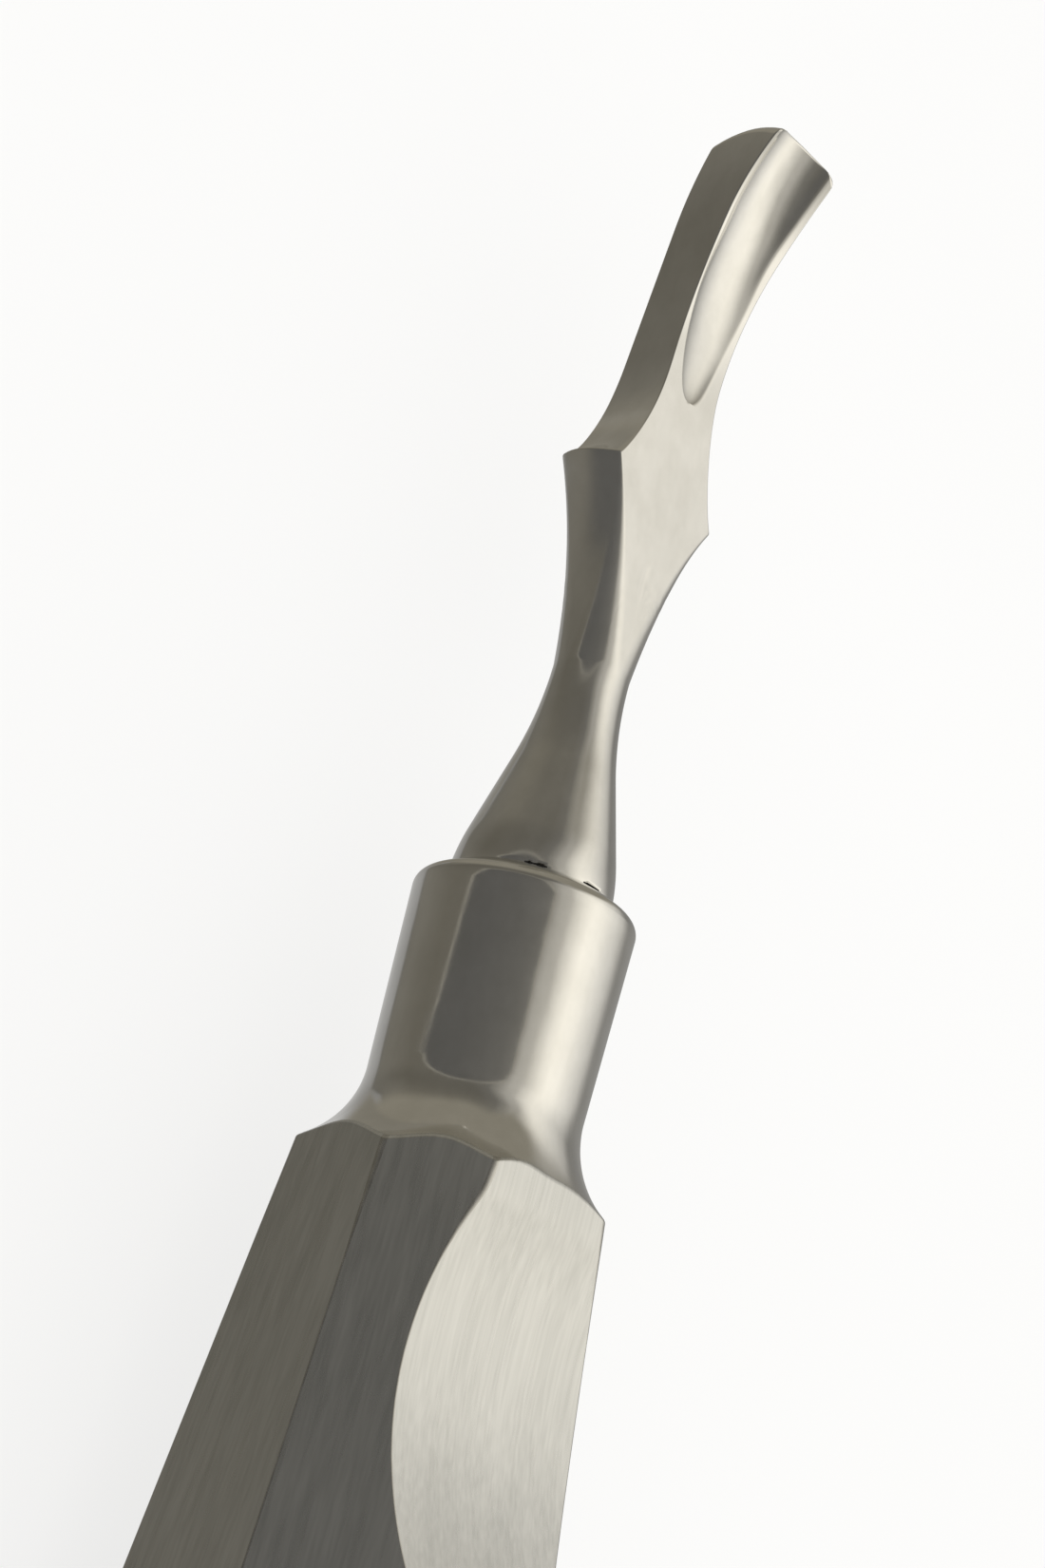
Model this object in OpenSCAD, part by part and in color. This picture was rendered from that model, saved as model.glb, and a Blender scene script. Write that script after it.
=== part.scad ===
// Dental elevator: a forged gouge blade brazed into a bored octagonal handle.
// Every length along the instrument is counted from the neck rim, +X to the blade's nose.
// The gouge faces +Z, and the instrument lies on its bottom facet with the gouge up.

/* [Blade] */
// Neck rim to the blade's nose
reach = 32.2; // [31.6:0.1:33]
// Neck rim to the corners of the diamond hip
hip_x = 16.5; // [16:0.1:17]
// Width across the hip's corners
hip_w = 5.45; // [5:0.05:5.8]
// Neck rim to the narrowest place above the hip
slim_x = 22; // [21.5:0.1:22.5]
// Width at the narrowest place above the hip
slim_w = 2.84; // [2.6:0.02:3.1]
// Radius of the sides' long hollow towards the tip
flank_r = 60; // [50:1:70]
// Neck rim to where the sides turn parallel and the front face bends more
tip_x = 28; // [27:0.1:29]
// Radius that takes the sides back to parallel
tip_side_r = 18; // [16:1:22]
// Height of the flat front face above the instrument's axis
front_z = 1.7; // [1.5:0.05:1.8]
// Depth of the blade's back face under the instrument's axis
back_z = 1.2; // [1.1:0.05:1.35]
// Neck rim to where the front face starts to bend forward
bend_x = 21; // [20.5:0.1:22]
// Radius of the front face's bend
bend_r = 20; // [19:0.5:22]
// Radius of the further bend at the tip
tip_bend_r = 25; // [22:0.5:30]
// Radius of the back face's bend, which starts at the hip
back_bend_r = 48; // [44:1:54]
// Radius of the nose, seen from the front
nose_r = 6.5; // [5:0.1:8]
// How far the nose leans back, in degrees
nose_lean = 9.3; // [6:0.1:12]

/* [Gouge] */
// Radius of the hollow across the blade
gouge_r = 3.15; // [2.9:0.05:3.4]
// Radius of the hollow's floor along the blade
gouge_floor_r = 15.5; // [15:0.1:16]
// Neck rim to the lowest place of the hollow's floor
gouge_low_x = 22.3; // [22:0.1:22.6]
// Height of that lowest place above the instrument's axis
gouge_low_z = 1.57; // [1.52:0.01:1.62]

/* [Shank] */
// Length of the foot's rounded part, which stands on the neck
foot_round = 2; // [1.6:0.1:2.4]
// Neck rim to the end of the foot's straight cone
cone_end = 5; // [4.5:0.1:5.5]
// Neck rim to the waist, the thinnest place of the shank
waist_x = 9; // [8.6:0.1:9.4]
// Radius of the waist
waist_r = 1.43; // [1.35:0.01:1.55]
// Radius of the hollow between the cone and the waist
waist_hollow_r = 16; // [14:0.5:18]

/* [Tang] */
// Radius of the tang
tang_r = 2.2; // [2:0.05:2.3]
// Length of the full tang under the neck rim
tang_len = 18; // [16:0.5:20]
// Radius of the tang's end spigot, which centres the braze ring
spigot_r = 1.6; // [1.4:0.05:1.7]
// Length of that spigot and height of the braze ring
spigot_len = 1.2; // [1:0.1:1.5]
// Radial gap round the tang and round the cap's plug
fit_gap = 0.02; // [0.01:0.01:0.03]

/* [Neck] */
// Radius of the neck at its rim
neck_r = 4.03; // [4:0.01:4.1]
// Radius of the neck where the flare starts
neck_low_r = 3.8; // [3.75:0.01:3.9]
// Rounding of the rim
rim_round = 0.5; // [0.4:0.05:0.6]
// How far the rim's dome rises to the foot
rim_dome = 0.35; // [0.25:0.05:0.45]
// Neck rim to the start of the concave flare
flare_start = 7.3; // [7:0.1:7.6]
// Radius of the concave flare
flare_r = 4; // [3.8:0.1:4.2]

/* [Handle] */
// Neck rim to the end of the butt
handle_len = 118; // [112:1:124]
// Width across the flats where the handle is thickest
flats = 15; // [14.4:0.1:15.6]
// Neck rim to the shoulder corners
shoulder_x = 10.42; // [10.2:0.02:10.6]
// Distance of a flat from the axis at the shoulder
shoulder_flat = 5.23; // [5.15:0.01:5.3]
// Growth of that distance for each millimetre towards the butt
taper = 0.09; // [0.085:0.001:0.095]
// Neck rim to the start of the butt's gentle narrowing
belly_end = 88; // [80:1:92]
// Radius of that narrowing, seen from the side
belly_r = 333; // [300:1:400]

/* [Thumb rest] */
// Radius of the hollow in the front and the back facet
rest_r = 17; // [16:0.5:18]
// Neck rim to the lowest place of the hollow
rest_x = 15.4; // [15.2:0.1:15.8]
// Distance of that place from the instrument's axis
rest_z = 4.2; // [4.1:0.05:4.4]
// Distance of the flat that ends the hollow at the shoulder
shoulder_front = 4.72; // [4.65:0.01:4.8]

/* [Bore and butt cap] */
// Radius of the bore that lightens the handle
bore_r = 5; // [4.5:0.1:5.2]
// Neck rim to the bottom of that bore
bore_bottom = 36; // [34:1:44]
// Length of the cap that shows
cap_len = 5.5; // [5:0.1:6]
// Length of the cap's plug in the bore
plug_len = 8; // [6:0.5:10]
// Radius of the cap's dome
dome_r = 9.4; // [9:0.1:11]

/* [Hidden] */
$fn = 96;
STEEL = [0.72, 0.71, 0.68];
SATIN = [0.62, 0.61, 0.58];
BRAZE = [0.83, 0.80, 0.68];
ARC_STEPS = 8;
HULL_STEPS = 7;
// Edge radius of the hip, and how late its width and its edges turn up along the shank.
HIP_EDGE = 0.15;
WIDTH_POWER = 2.9;
EDGE_POWER = 1.25;
EDGE_FN = 32;
// Share of its radius over which the flare is turned, past the facets' hollows.
FLARE_SHARE = 0.87;
// Where the rim's rounding meets the dome, in degrees from the axis.
RIM_ANGLE = 30;
// Height of the drill's cone, as a share of its radius.
DRILL_CONE = 0.6;
BLEND_LEN = 8;
// Stretch of the blade that the nose is cut from.
NOSE_LEN = 2;
OVERLAP = 0.05;
CLEAR = 1;
BIG = 30;

half_flats = flats / 2;
rim_x = (handle_len - reach) / 2;
cap_x = -handle_len + cap_len;
hip_h = hip_w / 2;
slim_h = slim_w / 2;
flank_hip_r = ((slim_x - hip_x) ^ 2 + (hip_h - slim_h) ^ 2) / (2 * (hip_h - slim_h));
cone_r = waist_r + sag(waist_hollow_r, waist_x - cone_end);
cone_slope = (waist_x - cone_end) / sqrt(waist_hollow_r ^ 2 - (waist_x - cone_end) ^ 2);
foot_arc_r = foot_round * sqrt(1 + cone_slope ^ 2) / cone_slope;
foot_r = cone_r + cone_slope * (cone_end - foot_round) + sag(foot_arc_r, foot_round);
full_x = -shoulder_x - (half_flats - shoulder_flat) / taper - BLEND_LEN / 2;
blend_start = full_x + BLEND_LEN;
hip_centre_z = (front_z - back_z) / 2;
hip_half_z = (front_z + back_z) / 2;

// How far an arc of radius r has left its tangent at distance d.
function sag(r, d) = r - sqrt(r ^ 2 - d ^ 2);

// Evenly spaced values from a to b.
function steps(a, b, n = ARC_STEPS) = [for (i = [0:n]) a + (b - a) * i / n];

// Half width of the blade at x.
function blade_half_w(x) =
    x < slim_x ? slim_h + sag(flank_hip_r, slim_x - x)
    : slim_h + sag(flank_r, x - slim_x) - sag(tip_side_r, max(x - tip_x, 0));

// Heights of the blade's front and back face at x.
function blade_front(x) = front_z + sag(bend_r, max(x - bend_x, 0)) + sag(tip_bend_r, max(x - tip_x, 0));
function blade_back(x) = -back_z + sag(back_bend_r, x - hip_x);

// Radius of the foot at x.
function foot_radius(x) = foot_r - sag(foot_arc_r, x);

// Distance of a handle facet from the axis at x: a straight taper up to a short blend arc,
// the parallel belly, then one long arc to the butt.
function taper_flat(x) = shoulder_flat + taper * (-shoulder_x - x);
function facet(x) =
    x > blend_start ? taper_flat(x)
    : x > full_x ? half_flats - taper / (2 * BLEND_LEN) * (x - full_x) ^ 2
    : x > -belly_end ? half_flats
    : half_flats - sag(belly_r, -belly_end - x);

// Puts a solid written along the instrument's axis into the part's frame.
module place() {
    translate([rim_x, 0, half_flats]) children();
}

// Turns an outline of [radius, x] points about the instrument's axis.
module turned(points) {
    rotate([0, 90, 0]) rotate_extrude() polygon(points);
}

// A round bar about the axis from x0 to x1.
module bar(r, x0, x1) {
    translate([x0, 0, 0]) rotate([0, 90, 0]) cylinder(r = r, h = x1 - x0);
}

// Extrudes a side outline of [x, z] points across the instrument.
module side_plate(points, width) {
    rotate([90, 0, 0]) linear_extrude(width, center = true) polygon(points);
}

// Eight facets from x0 to x1, as four crossed plates.
module octagon_bar(x0, x1, stops) {
    xs = [x0, for (x = stops) if (x > x0 && x < x1) x, x1];
    upper = [for (x = xs) [x, facet(x)]];
    lower = [for (i = [len(xs) - 1:-1:0]) [xs[i], -facet(xs[i])]];
    intersection_for(turn = [0, 45, 90, 135]) {
        rotate([turn, 0, 0]) side_plate(concat(upper, lower), BIG);
    }
}

handle_stops = concat(
    steps(-handle_len, -belly_end),
    steps(full_x, blend_start, 4)
);

// Foot, straight cone and waist.
module shank_round() {
    turned(concat(
        [[0, rim_dome]],
        [for (x = steps(rim_dome, foot_round)) [foot_radius(x), x]],
        [for (x = steps(cone_end, waist_x)) [waist_r + sag(waist_hollow_r, waist_x - x), x]],
        [[0, waist_x]]
    ));
}

// One cross-section of the stretch that turns from the round waist into the diamond hip.
module hip_section(t) {
    half_w = waist_r + (hip_h - waist_r) * t ^ WIDTH_POWER;
    half_z = waist_r + (hip_half_z - waist_r) * t;
    corner = HIP_EDGE + (waist_r - HIP_EDGE) * (1 - t) ^ EDGE_POWER;
    x = waist_x + (hip_x - waist_x) * t;
    for (side = [-1, 1], face = [-1, 1]) {
        translate([x - OVERLAP, side * (half_w - corner), hip_centre_z * t + face * (half_z - corner)])
            rotate([0, 90, 0]) cylinder(r = corner, h = OVERLAP, $fn = EDGE_FN);
    }
}

module shank_blend() {
    for (i = [1:HULL_STEPS]) {
        hull() {
            hip_section((i - 1) / HULL_STEPS);
            hip_section(i / HULL_STEPS);
        }
    }
}

module blade() {
    nose_end = reach + CLEAR;
    nose_back_z = blade_back(reach);
    sides = [for (x = steps(hip_x, nose_end, 2 * ARC_STEPS)) [x, blade_half_w(x)]];
    front = [for (x = concat([hip_x], steps(bend_x, nose_end, 2 * ARC_STEPS))) [x, blade_front(x)]];
    back = [for (x = steps(nose_end, hip_x, 2 * ARC_STEPS)) [x, blade_back(x)]];
    difference() {
        intersection() {
            linear_extrude(BIG, center = true)
                polygon(concat(sides, [for (i = [len(sides) - 1:-1:0]) [sides[i].x, -sides[i].y]]));
            side_plate(concat(front, back), BIG);
            union() {
                translate([0, -BIG / 2, -BIG / 2]) cube([reach - NOSE_LEN, BIG, BIG]);
                translate([reach, 0, nose_back_z]) rotate([0, -nose_lean, 0])
                    translate([-nose_r, 0, 0]) cylinder(r = nose_r, h = BIG, center = true);
            }
        }
        gouge();
    }
}

// The hollow of the gouge: a ring whose lowest stretch lies in the blade's front face.
module gouge() {
    translate([gouge_low_x, 0, gouge_low_z + gouge_floor_r]) rotate([90, 0, 0])
        rotate_extrude() translate([gouge_floor_r - gouge_r, 0]) circle(r = gouge_r);
}

module blade_and_shank() {
    color(STEEL) place() {
        shank_round();
        shank_blend();
        blade();
        bar(tang_r, -tang_len, rim_dome + OVERLAP);
        bar(spigot_r, -tang_len - spigot_len, -tang_len + OVERLAP);
    }
}

// The lathe's work on the handle: domed rim, polished neck and concave flare.
module neck_envelope() {
    flare_end = flare_start + flare_r * FLARE_SHARE;
    turned(concat(
        [[0, rim_dome], [foot_radius(rim_dome), rim_dome]],
        [for (a = steps(RIM_ANGLE, 90)) [neck_r - rim_round * (1 - sin(a)), -rim_round * (1 - cos(a))]],
        [for (x = steps(flare_start, flare_end)) [neck_low_r + sag(flare_r, x - flare_start), -x]],
        [[BIG, -flare_end], [BIG, -handle_len], [0, -handle_len]]
    ));
}

module thumb_rests() {
    for (side = [0, 180]) {
        rotate([side, 0, 0]) {
            translate([-rest_x, 0, rest_z + rest_r])
                rotate([90, 0, 0]) cylinder(r = rest_r, h = BIG, center = true);
            translate([-rest_x, -BIG / 2, shoulder_front]) cube([BIG, BIG, BIG]);
        }
    }
}

// The bore with the drill's cone at its bottom.
module lightening_bore() {
    turned([
        [0, -bore_bottom + bore_r * DRILL_CONE], [bore_r, -bore_bottom],
        [bore_r, cap_x - CLEAR], [0, cap_x - CLEAR]
    ]);
}

module handle_body() {
    color(SATIN) place() difference() {
        intersection() {
            octagon_bar(cap_x, rim_dome, handle_stops);
            neck_envelope();
        }
        thumb_rests();
        bar(tang_r + fit_gap, -tang_len - spigot_len, CLEAR);
        lightening_bore();
    }
}

module butt_cap() {
    color(SATIN) place() {
        intersection() {
            octagon_bar(-handle_len, cap_x, handle_stops);
            translate([-handle_len + dome_r, 0, 0]) sphere(r = dome_r);
        }
        bar(bore_r - fit_gap, cap_x - OVERLAP, cap_x + plug_len);
    }
}

module braze_ring() {
    color(BRAZE) place() difference() {
        bar(tang_r, -tang_len - spigot_len, -tang_len);
        bar(spigot_r, -tang_len - spigot_len - CLEAR, -tang_len + CLEAR);
    }
}

blade_and_shank();
handle_body();
butt_cap();
braze_ring();
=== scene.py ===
"""Looks of a dental elevator: finished meshes, metals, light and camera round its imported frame.

Lengths are in millimetres and follow the instrument's own axis, as in the part: x is counted
from the neck rim, +X to the nose, and the gouge faces +Z. in_frame() turns them into the
frame's metres. Each piece is one closed skin, woven from rings of points along the axis.
"""

import math
from functools import cache

import bpy
import numpy as np
from mathutils import Matrix, Vector


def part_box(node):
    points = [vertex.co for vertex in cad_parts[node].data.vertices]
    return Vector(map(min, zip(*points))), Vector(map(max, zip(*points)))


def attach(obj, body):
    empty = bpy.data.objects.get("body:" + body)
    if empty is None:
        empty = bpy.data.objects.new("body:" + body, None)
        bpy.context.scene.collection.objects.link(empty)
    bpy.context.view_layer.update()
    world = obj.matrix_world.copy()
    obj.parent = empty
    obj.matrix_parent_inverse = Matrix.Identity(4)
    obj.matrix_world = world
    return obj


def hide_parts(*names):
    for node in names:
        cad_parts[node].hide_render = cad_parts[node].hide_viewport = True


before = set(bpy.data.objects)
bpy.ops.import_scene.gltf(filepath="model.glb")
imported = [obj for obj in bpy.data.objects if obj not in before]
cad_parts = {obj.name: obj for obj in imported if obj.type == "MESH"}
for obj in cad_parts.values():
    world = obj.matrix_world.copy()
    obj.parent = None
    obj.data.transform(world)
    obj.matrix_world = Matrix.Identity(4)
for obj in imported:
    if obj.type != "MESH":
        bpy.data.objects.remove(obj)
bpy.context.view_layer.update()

# -------- sizes read from the frame

MM = 0.001
blade_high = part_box("blade_and_shank")[1]
handle_low, handle_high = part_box("handle_body")
braze_low, braze_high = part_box("braze_ring")
RIM_DOME = 0.35
RIM_X = handle_high.x / MM - RIM_DOME
AXIS_Z = (handle_low.z + handle_high.z) / 2 / MM
HALF_FLATS = (handle_high.z - handle_low.z) / 2 / MM
REACH = blade_high.x / MM - RIM_X
CAP_X = handle_low.x / MM - RIM_X
BUTT_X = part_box("butt_cap")[0].x / MM - RIM_X
PLUG_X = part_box("butt_cap")[1].x / MM - RIM_X
TANG_X = braze_high.x / MM - RIM_X
SPIGOT_X = braze_low.x / MM - RIM_X
TANG_R = (braze_high.y - braze_low.y) / 2 / MM

# -------- driving sizes of the shapes

# Blade: hip, flanks, faces and nose.
HIP_X = 16.5
HIP_HALF = 2.72
SLIM_X = 22.0
SLIM_HALF = 1.42
FLANK_R = 60.0
FRONT_Z = 1.7
BACK_Z = 1.2
BEND_X = 21.0
FRONT_BEND_R = 20.0
BACK_BEND_R = 48.0
TIP_X = 28.0
TIP_SIDE_R = 18.0
TIP_BEND_R = 25.0
NOSE_R = 6.5
NOSE_LEAN = math.radians(9.3)
NOSE_BULGE = 0.38
EDGE_R = 0.06
NOSE_EDGE = 0.1
NOSE_CORNER = 0.32
CORNER_POWER = 8
HIP_SLANT = 0.1
HIP_SKEW = 0.07
HIP_EDGE = 0.16
HIP_BACK_EDGE = 0.35
HIP_BULGE = 0.35
HIP_LEAN = 0.3
HIP_RIDGE = 0.07
HIP_FADE = 2.5
# How late the shank's width, back face and edges turn up on the way to the hip.
WIDTH_POWER = 2.9
BACK_POWER = 1.9
FRONT_EDGE_POWER = 1.35
BACK_EDGE_POWER = 1.15
# From here on the rings take up the shape of the nose.
TIP_RINGS_X = REACH - 5.0

# Gouge: where it starts, its opening, its depth and how far it lies to the left.
GOUGE_X = 20.5
GOUGE_FULL_X = 26.5
GOUGE_LAND = 0.14
GOUGE_TURN_X = 24.5
GOUGE_TIP_LAND = 0.29
GOUGE_OFFSET = 0.07
GOUGE_TIP_OFFSET = 0.125
GOUGE_DEPTH = 0.1
GOUGE_GROWTH = 0.036
GOUGE_SQUARENESS = 2.4
GOUGE_SOFT = 0.035
# The least half width of the columns kept for the gouge, and their greatest share of the face.
GOUGE_LEAST = 0.12
GOUGE_SHARE = 0.98

# Shank: foot, cone, waist and tang.
FOOT_ROUND = 2.0
CONE_END = 5.0
WAIST_X = 9.0
WAIST_R = 1.43
WAIST_HOLLOW_R = 16.0
WAIST_LIFT = 0.25
ROUND_END_X = WAIST_X + 4.5
SPIGOT_R = 1.6
TANG_BEVEL = 0.1
FOOT_BEVEL = 0.05

# Neck: rim, taper and flare.
NECK_R = 4.03
NECK_LOW_R = 3.8
RIM_ROUND = 0.5
RIM_TURN = 60
RIM_CROWN = 0.03
FLARE_X = -7.3
FLARE_R = 4.0
FLARE_END = FLARE_X - 0.98 * FLARE_R
SOCKET_R = 2.22
SEAM_BOTTOM = RIM_DOME - 0.3
SEAM_GAP = 0.012
SEAM_LIP = 0.02
SEAM_PIT = 0.045
PIT_BELOW = 0.02
PIT_ABOVE = 0.05
PIT_WALL = 0.01
# Pits along the seam: direction from +Z towards +Y and half length, in degrees.
SEAM_PITS = ((46, 1.8), (38.5, 3), (-2, 8), (150, 5), (-120, 6))

# Handle: facets, thumb rests, bore and butt.
SHOULDER_X = -10.42
SHOULDER_FLAT = 5.23
TAPER = 0.09
BLEND_LEN = 8.0
BELLY_END = -88.0
BELLY_R = 333.0
REST_R = 17.0
REST_X = -15.4
REST_Z = 4.2
SHOULDER_FRONT = 4.72
REST_BLEND = 0.08
# Finer rings begin at the first of these, and rings that slant to the crest at the second.
FINE_X = -40.0
SLANT_X = -24.0
FACET_EDGE_R = 0.1
SHOULDER_EDGE_R = 0.32
SHOULDER_EDGE_X = -14.5
CREST_LIP = 0.09
CREST_TURN = 0.4
CREST_LIFT = 0.27
CREST_ARCH = 0.17
CREST_SAG = 0.2
BORE_R = 5.0
BORE_BOTTOM = -36.0
DRILL_CONE = 0.6
CENTRE_R = 0.05
PLUG_R = 4.98
DOME_R = 9.4
JOINT_BEVEL = 0.12
CAP_LIP = 0.1


def in_frame(points):
    """Points on the instrument's axis, in millimetres, as points of the frame, in metres."""
    return (np.asarray(points) + [RIM_X, 0, AXIS_Z]) * MM


def sag(radius, distance):
    """How far an arc of that radius has left its tangent at a distance."""
    return radius - np.sqrt(np.maximum(radius**2 - np.square(distance), 0))


def smooth_step(low, high, x):
    t = np.clip((x - low) / (high - low), 0, 1)
    return t * t * (3 - 2 * t)


# -------- skins woven from rings


def slopes(grid, axis):
    """Tangents of a grid of points along one axis, exact for a parabola at uneven spacing."""
    points = np.moveaxis(grid, axis, 0)
    step = np.linalg.norm(np.diff(points, axis=0), axis=-1, keepdims=True) + 1e-12
    rate = np.diff(points, axis=0) / step
    if len(rate) == 1:
        return np.moveaxis(np.concatenate([rate, rate]), 0, axis)
    inner = (rate[:-1] * step[1:] + rate[1:] * step[:-1]) / (step[:-1] + step[1:])
    first = 2 * rate[:1] - inner[:1]
    last = 2 * rate[-1:] - inner[-1:]
    return np.moveaxis(np.concatenate([first, inner, last]), 0, axis)


def corner_normals(patch):
    """Outward normals of a smooth patch, four for each of its quads."""
    normal = np.cross(slopes(patch, 1), slopes(patch, 0))
    normal /= np.linalg.norm(normal, axis=-1, keepdims=True) + 1e-12
    return np.stack([normal[:-1, :-1], normal[:-1, 1:], normal[1:, 1:], normal[1:, :-1]], axis=2)


class Skin:
    """A closed tube of rings. Normals are smooth except across the named breaks."""

    def __init__(self, columns, column_breaks):
        self.columns = columns
        self.column_breaks = sorted(set([0, *column_breaks, columns]))
        self.rings = []
        self.breaks = [0]
        self.zones = []

    def add(self, ring, zone=0):
        """Adds one ring; the quads between it and the ring before belong to the zone."""
        if self.rings:
            self.zones.append(zone)
        self.rings.append(np.broadcast_to(ring, (self.columns, 3)).astype(float))

    def crease(self):
        """Makes the last ring a line where the surface may turn sharply."""
        self.breaks.append(len(self.rings) - 1)

    def add_sharp(self, ring, zone=0):
        self.add(ring, zone)
        self.crease()

    def round_edge(self, before, edge, after, zone=0, parts=4):
        """Rounds an edge with the parabola that touches both of its sides."""
        self.add_sharp(before, zone)
        for t in np.arange(1, parts) / parts:
            self.add((1 - t) ** 2 * before + 2 * t * (1 - t) * edge + t**2 * after, zone)
        self.add_sharp(after, zone)

    def quads(self):
        """Vertex numbers of the quads between the rings."""
        i, j = np.meshgrid(np.arange(len(self.rings) - 1), np.arange(self.columns), indexing="ij")
        here = i * self.columns + j
        beside = i * self.columns + (j + 1) % self.columns
        corners = [here, beside, beside + self.columns, here + self.columns]
        return np.stack(corners, -1).reshape(-1, 4).tolist()

    def normals(self):
        """Outward normals, four for each quad, smooth between the breaks."""
        grid = np.array(self.rings)
        wrapped = np.concatenate([grid, grid[:, :1]], axis=1)
        normals = np.zeros((len(grid) - 1, self.columns, 4, 3))
        ring_breaks = sorted(set([*self.breaks, len(grid) - 1]))
        for r0, r1 in zip(ring_breaks[:-1], ring_breaks[1:]):
            for c0, c1 in zip(self.column_breaks[:-1], self.column_breaks[1:]):
                normals[r0:r1, c0:c1] = corner_normals(wrapped[r0 : r1 + 1, c0 : c1 + 1])
        return normals.reshape(-1, 3).tolist()

    def build(self, name, materials, zone_of=None, end_cap=None):
        """The finished object. zone_of may change the material of each quad by ring and column,
        and end_cap may close the last ring with a surface of its own."""
        vertices = np.array(self.rings).reshape(-1, 3)
        faces = self.quads()
        corners = self.normals()
        zones = np.repeat(np.array(self.zones)[:, None], self.columns, 1)
        zones = (zone_of(zones) if zone_of else zones).ravel().tolist()
        first_zone, last_zone = zones[0], zones[-1]
        faces.append(list(range(self.columns))[::-1])
        corners += [[-1.0, 0.0, 0.0]] * self.columns
        zones.append(first_zone)
        last = len(vertices) - self.columns
        if end_cap is None:
            cap_faces = [[last + c for c in range(self.columns)]]
            cap_corners = [[1.0, 0.0, 0.0]] * self.columns
        else:
            vertices, cap_faces, cap_corners = end_cap(vertices, last)
        faces += cap_faces
        corners += cap_corners
        zones += [last_zone] * len(cap_faces)
        return new_object(name, vertices, faces, corners, zones, materials)


def new_object(name, vertices, faces, corners, zones, materials):
    """An object in the scene, from its points, faces, corner normals and materials."""
    mesh = bpy.data.meshes.new(name)
    mesh.from_pydata(in_frame(vertices).tolist(), [], faces)
    for material in materials:
        mesh.materials.append(material)
    mesh.polygons.foreach_set("material_index", zones)
    mesh.polygons.foreach_set("use_smooth", [True] * len(faces))
    mesh.normals_split_custom_set(corners)
    mesh.update()
    piece = bpy.data.objects.new(name, mesh)
    bpy.context.scene.collection.objects.link(piece)
    return piece


# -------- blade and shank

ARC = 6
LAND = 5
HOLLOW = 26
SIDE = 10
ACROSS = 2 * LAND + HOLLOW
BLADE_GROUPS = [ARC, LAND, HOLLOW, LAND, ARC, SIDE, ARC, ACROSS, ARC, SIDE]
BLADE_STARTS = np.concatenate([[0], np.cumsum(BLADE_GROUPS)])
BLADE_COLUMNS = int(BLADE_STARTS[-1])

FLANK_HIP_R = ((SLIM_X - HIP_X) ** 2 + (HIP_HALF - SLIM_HALF) ** 2) / (2 * (HIP_HALF - SLIM_HALF))
NOSE_BACK_Z = -BACK_Z + sag(BACK_BEND_R, REACH - HIP_X)
NOSE_HALF_Z = 1.7
NOSE_MIDDLE_Z = NOSE_BACK_Z + NOSE_HALF_Z
# The dome's foremost point is where its slope cancels the lean.
NOSE_TOP = math.tan(NOSE_LEAN) * NOSE_HALF_Z / (2 * NOSE_BULGE)
NOSE_REACH = REACH + NOSE_HALF_Z * math.tan(NOSE_LEAN) - NOSE_BULGE * NOSE_TOP**2


def blade_half_width(x):
    """Half width of the blade: hollow above the hip, widening, then parallel at the tip."""
    above = SLIM_HALF + np.where(x < SLIM_X, sag(FLANK_HIP_R, SLIM_X - x), sag(FLANK_R, x - SLIM_X))
    above = above - sag(TIP_SIDE_R, np.maximum(x - TIP_X, 0))
    return np.where(x < HIP_X, hip_half_width(x), above)


def hip_share(x):
    """Share of the way from the waist to the hip."""
    return np.clip((x - WAIST_X) / (HIP_X - WAIST_X), 0, 1)


def hip_half_width(x):
    """Half width of the shank between its round waist and the hip."""
    return WAIST_R + (HIP_HALF - WAIST_R) * hip_share(x) ** WIDTH_POWER


def waist_lift(x):
    """The shank leans slightly to the front: height of its axis."""
    return WAIST_LIFT * np.clip(x / WAIST_X, 0, 1)


def blade_front(x):
    waist = WAIST_LIFT + WAIST_R
    bend = sag(FRONT_BEND_R, np.maximum(x - BEND_X, 0)) + sag(TIP_BEND_R, np.maximum(x - TIP_X, 0))
    return waist + (FRONT_Z - waist) * hip_share(x) + bend


def blade_back(x):
    waist = WAIST_LIFT - WAIST_R
    below = waist - (waist + BACK_Z) * hip_share(x) ** BACK_POWER
    return np.where(x < HIP_X, below, sag(BACK_BEND_R, x - HIP_X) - BACK_Z)


def front_edge(x):
    """Radius of the two edges along the front face."""
    below = HIP_EDGE + (WAIST_R - HIP_EDGE) * (1 - hip_share(x)) ** FRONT_EDGE_POWER
    return np.where(x < HIP_X, below, EDGE_R + (HIP_EDGE - EDGE_R) * np.exp(HIP_X - x))


def back_edge(x):
    """Radius of the two edges along the back face."""
    below = HIP_BACK_EDGE + (WAIST_R - HIP_BACK_EDGE) * (1 - hip_share(x)) ** BACK_EDGE_POWER
    return np.where(x < HIP_X, below, EDGE_R + (HIP_BACK_EDGE - EDGE_R) * np.exp(HIP_X - x))


def gouge_half(x):
    """Half width of the gouge's mouth: a round lower end that opens to the edges of the face."""
    short = np.clip((GOUGE_FULL_X - x) / (GOUGE_FULL_X - GOUGE_X), 0, 1)
    land = GOUGE_LAND + (GOUGE_TIP_LAND - GOUGE_LAND) * smooth_step(GOUGE_TURN_X, TIP_X, x)
    return (blade_half_width(x) - land) * np.sqrt(1 - short**2)


def gouge_offset(x):
    """How far the middle of the gouge lies to the left of the blade's."""
    return GOUGE_OFFSET + (GOUGE_TIP_OFFSET - GOUGE_OFFSET) * smooth_step(GOUGE_TURN_X, TIP_X, x)


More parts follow.
